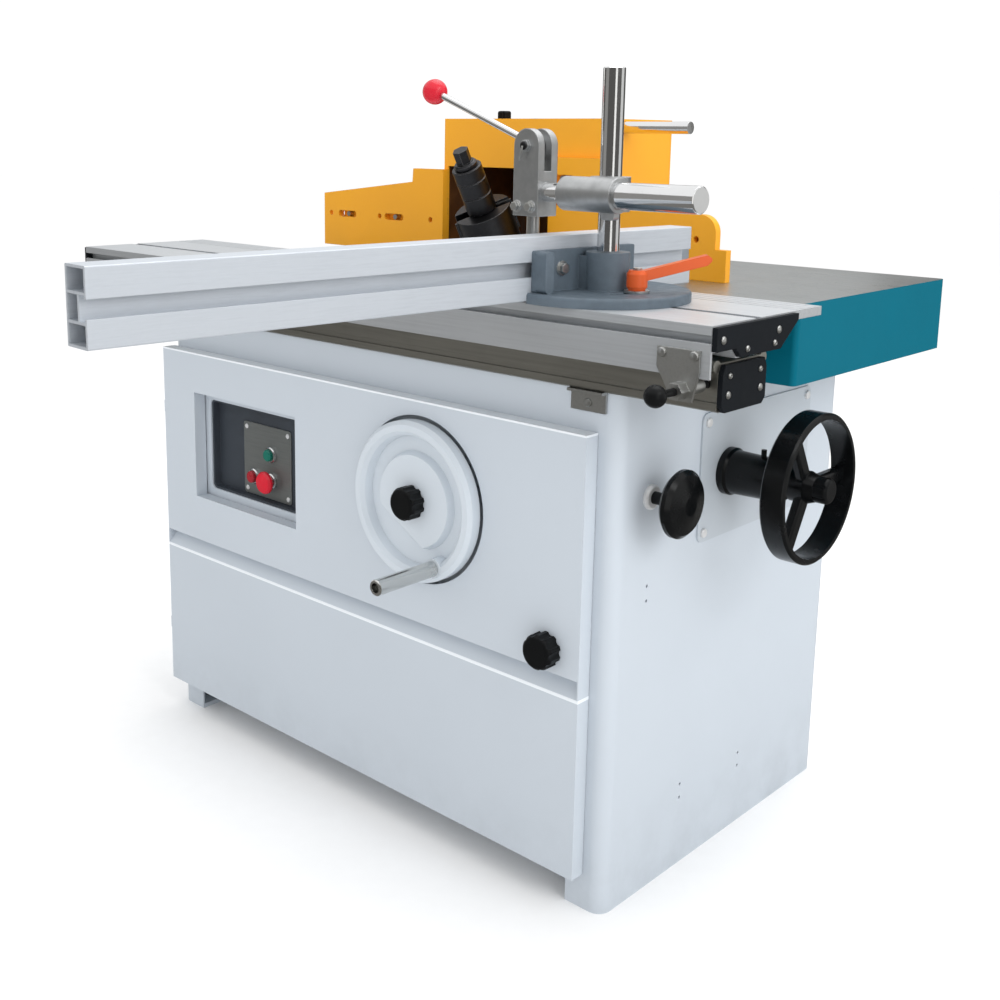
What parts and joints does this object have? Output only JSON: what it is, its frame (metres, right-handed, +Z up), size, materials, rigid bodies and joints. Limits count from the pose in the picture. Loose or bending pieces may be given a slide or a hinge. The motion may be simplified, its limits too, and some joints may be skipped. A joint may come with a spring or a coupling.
{
  "type": "spindle moulder",
  "caption": "Floor-standing tilting spindle moulder with cabinet, cast table, sliding table with crosscut fence and hold-down clamp, hood with fence plates, handwheels and door.",
  "frame": {"origin": "middle of the four floor bolt holes, on the floor", "axes": "+X to the operator's right along the sliding table, +Y to the back, +Z up"},
  "size_m": [1.4, 1.3939, 1.19],
  "materials": {
    "white_paint": "satin",
    "teal_paint": "ground top, painted sides",
    "yellow_paint": "gloss",
    "dark_paint": "satin",
    "grey_paint": "satin",
    "orange_paint": "gloss",
    "black_plastic": "moulded",
    "red_plastic": "gloss",
    "green_plastic": "gloss",
    "aluminium": "anodised",
    "cast_aluminium": "as cast",
    "chrome": "polished",
    "steel": "turned",
    "zinc": "zinc plated",
    "black_steel": "blackened",
    "iron": "painted casting",
    "rubber": "moulded"
  },
  "bodies": {
    "stand": {"cabinet_body": "white_paint", "door_hinges": "white_paint", "control_recess": "black_plastic", "control_plate": "zinc", "panel_screws": "zinc", "lift_gearbox": "iron", "side_plate": "white_paint", "tilt_sleeve": "black_plastic", "tilt_gearbox": "iron", "machine_table": "teal_paint", "table_ring": "steel", "guide_beam": "aluminium", "beam_caps": "black_plastic", "beam_brackets": "zinc", "trunnion_brackets": "iron", "hood": "yellow_paint", "fence_bolts": "zinc"},
    "door": {"front_door": "white_paint"},
    "door_latch": {"door_latch_knob": "black_plastic"},
    "start_button": {"start_button": "green_plastic"},
    "stop_button": {"stop_button": "red_plastic"},
    "emergency_stop": {"emergency_stop": "red_plastic"},
    "height_wheel": {"height_wheel": "white_paint"},
    "crank": {"crank_handle": "steel"},
    "height_lock": {"height_lock_knob": "black_plastic"},
    "tilt_wheel": {"tilt_wheel": "black_plastic"},
    "tilt_lock": {"tilt_lock_knob": "black_plastic"},
    "tilt_clamp": {"tilt_clamp_knob": "black_plastic"},
    "slide": {"sliding_table": "aluminium", "slide_caps": "black_plastic", "slide_shoes": "black_plastic", "plunger_bracket": "zinc", "lever_stud": "zinc"},
    "index_plunger": {"index_plunger": "black_plastic"},
    "fence_lever": {"orange_lever": "orange_paint"},
    "crosscut": {"crosscut_fence": "aluminium", "fence_base": "dark_paint"},
    "pillar": {"pillar": "chrome"},
    "cross_block": {"cross_block": "cast_aluminium"},
    "clamp_bar": {"clamp_bar": "chrome", "clamp_head": "cast_aluminium"},
    "clamp_lever": {"clamp_lever": "chrome", "lever_ball": "red_plastic"},
    "clamp_plunger": {"clamp_plunger": "steel"},
    "tilt_unit": {"tilt_frame": "iron"},
    "lift_screw": {"lift_screw": "steel"},
    "lift_unit": {"carriage": "iron", "quill_housing": "iron", "motor": "grey_paint", "belt": "rubber"},
    "spindle": {"spindle_shaft": "steel", "spindle_collars": "black_steel", "cutter_block": "black_steel", "spindle_bolt": "black_steel", "spindle_pulley": "aluminium"},
    "motor_rotor": {"motor_pulley": "aluminium"},
    "hood_knob": {"hood_knob": "black_plastic"},
    "guard_rod": {"guard_rod": "chrome"},
    "left_fence": {"left_fence": "yellow_paint"},
    "right_fence": {"right_fence": "yellow_paint"}
  },
  "joints": [
    {"name": "door_swing", "type": "hinge", "parent": "stand", "child": "door", "pos_m": [-0.513, -0.32, 0.382], "axis": [0, 0, -1], "range_deg": [0, 100]},
    {"name": "door_latch_turn", "type": "hinge", "parent": "door", "child": "door_latch", "pos_m": [0.418, -0.341, 0.391], "axis": [0, -1, 0], "range_deg": [0, 90]},
    {"name": "start_press", "type": "slide", "parent": "stand", "child": "start_button", "axis": [0, 1, 0], "range_m": [0, 0.004], "stiffness_N_per_m": 1500},
    {"name": "stop_press", "type": "slide", "parent": "stand", "child": "stop_button", "axis": [0, 1, 0], "range_m": [0, 0.004], "stiffness_N_per_m": 1500},
    {"name": "emergency_press", "type": "slide", "parent": "stand", "child": "emergency_stop", "axis": [0, 1, 0], "range_m": [0, 0.005]},
    {"name": "height_wheel_turn", "type": "hinge", "parent": "stand", "child": "height_wheel", "pos_m": [0.164, -0.335, 0.555], "axis": [0, -1, 0], "range_deg": [-2160, 360]},
    {"name": "crank_spin", "type": "hinge", "parent": "height_wheel", "child": "crank", "pos_m": [0.2165, -0.364, 0.46407], "axis": [0, 1, 0], "continuous": true},
    {"name": "height_lock_turn", "type": "hinge", "parent": "height_wheel", "child": "height_lock", "pos_m": [0.164, -0.355, 0.555], "axis": [0, -1, 0], "range_deg": [-90, 0]},
    {"name": "tilt_wheel_turn", "type": "hinge", "parent": "stand", "child": "tilt_wheel", "pos_m": [0.62, -0.035, 0.612], "axis": [1, 0, 0], "range_deg": [-1800, 0]},
    {"name": "tilt_lock_turn", "type": "hinge", "parent": "tilt_wheel", "child": "tilt_lock", "pos_m": [0.66, -0.035, 0.612], "axis": [1, 0, 0], "range_deg": [0, 90]},
    {"name": "tilt_clamp_turn", "type": "hinge", "parent": "stand", "child": "tilt_clamp", "pos_m": [0.56, -0.235, 0.611], "axis": [1, 0, 0], "range_deg": [-180, 0]},
    {"name": "table_slide", "type": "slide", "parent": "stand", "child": "slide", "axis": [1, 0, 0], "range_m": [-0.3, 0.15]},
    {"name": "index_push", "type": "slide", "parent": "slide", "child": "index_plunger", "axis": [0, 1, 0], "range_m": [0, 0.01]},
    {"name": "fence_lever_turn", "type": "hinge", "parent": "slide", "child": "fence_lever", "pos_m": [0.497, -0.27, 0.9], "axis": [0, 0, 1], "range_deg": [-45, 60]},
    {"name": "crosscut_swivel", "type": "hinge", "parent": "slide", "child": "crosscut", "pos_m": [0.448, -0.27, 0.883], "axis": [0, 0, 1], "range_deg": [-30, 45]},
    {"name": "pillar_turn", "type": "hinge", "parent": "crosscut", "child": "pillar", "pos_m": [0.448, -0.27, 0.948], "axis": [0, 0, 1], "range_deg": [-20, 0]},
    {"name": "block_height", "type": "slide", "parent": "pillar", "child": "cross_block", "axis": [0, 0, 1], "range_m": [-0.018, 0.13]},
    {"name": "bar_reach", "type": "slide", "parent": "cross_block", "child": "clamp_bar", "axis": [0.9978, -0.0663, 0], "range_m": [-0.06, 0]},
    {"name": "clamp_lever_turn", "type": "hinge", "parent": "clamp_bar", "child": "clamp_lever", "pos_m": [0.34184, -0.29903, 1.087], "axis": [0.0663, 0.9978, 0], "range_deg": [-30, 70]},
    {"name": "clamp_press", "type": "slide", "parent": "clamp_bar", "child": "clamp_plunger", "axis": [0, 0, 1], "range_m": [-0.0028, 0.0065]},
    {"name": "spindle_tilt", "type": "hinge", "parent": "stand", "child": "tilt_unit", "pos_m": [0, 0.03, 0.88], "axis": [1, 0, 0], "range_deg": [-30, 0]},
    {"name": "lift_screw_turn", "type": "hinge", "parent": "tilt_unit", "child": "lift_screw", "pos_m": [0, 0.01771, 0.77129], "axis": [0, -0.5, 0.866], "range_deg": [-4320, 720]},
    {"name": "spindle_lift", "type": "slide", "parent": "tilt_unit", "child": "lift_unit", "axis": [0, -0.5, 0.866], "range_m": [-0.06, 0.01]},
    {"name": "spindle_spin", "type": "hinge", "parent": "lift_unit", "child": "spindle", "pos_m": [0, 0.05, 0.84536], "axis": [0, -0.5, 0.866], "continuous": true},
    {"name": "motor_spin", "type": "hinge", "parent": "lift_unit", "child": "motor_rotor", "pos_m": [0, 0.01679, 0.50287], "axis": [0, -0.5, 0.866], "continuous": true},
    {"name": "hood_knob_turn", "type": "hinge", "parent": "stand", "child": "hood_knob", "pos_m": [-0.065, 0.104, 1.13], "axis": [0, 0, 1], "range_deg": [-180, 0]},
    {"name": "guard_rod_slide", "type": "slide", "parent": "stand", "child": "guard_rod", "axis": [1, 0, 0], "range_m": [-0.06, 0.06]},
    {"name": "left_fence_set", "type": "slide", "parent": "stand", "child": "left_fence", "axis": [1, 0, 0], "range_m": [-0.015, 0.015]},
    {"name": "right_fence_set", "type": "slide", "parent": "stand", "child": "right_fence", "axis": [1, 0, 0], "range_m": [-0.015, 0.015]}
  ],
  "couplings": [
    {"joint": "spindle_lift", "follows": "height_wheel_turn", "m_per_rad": 0.0015915},
    {"joint": "lift_screw_turn", "follows": "height_wheel_turn", "ratio": 2},
    {"joint": "spindle_tilt", "follows": "tilt_wheel_turn", "ratio": 0.016667},
    {"joint": "motor_spin", "follows": "spindle_spin", "ratio": 0.83333},
    {"joint": "clamp_press", "follows": "clamp_lever_turn", "m_per_rad": 0.00527}
  ]
}
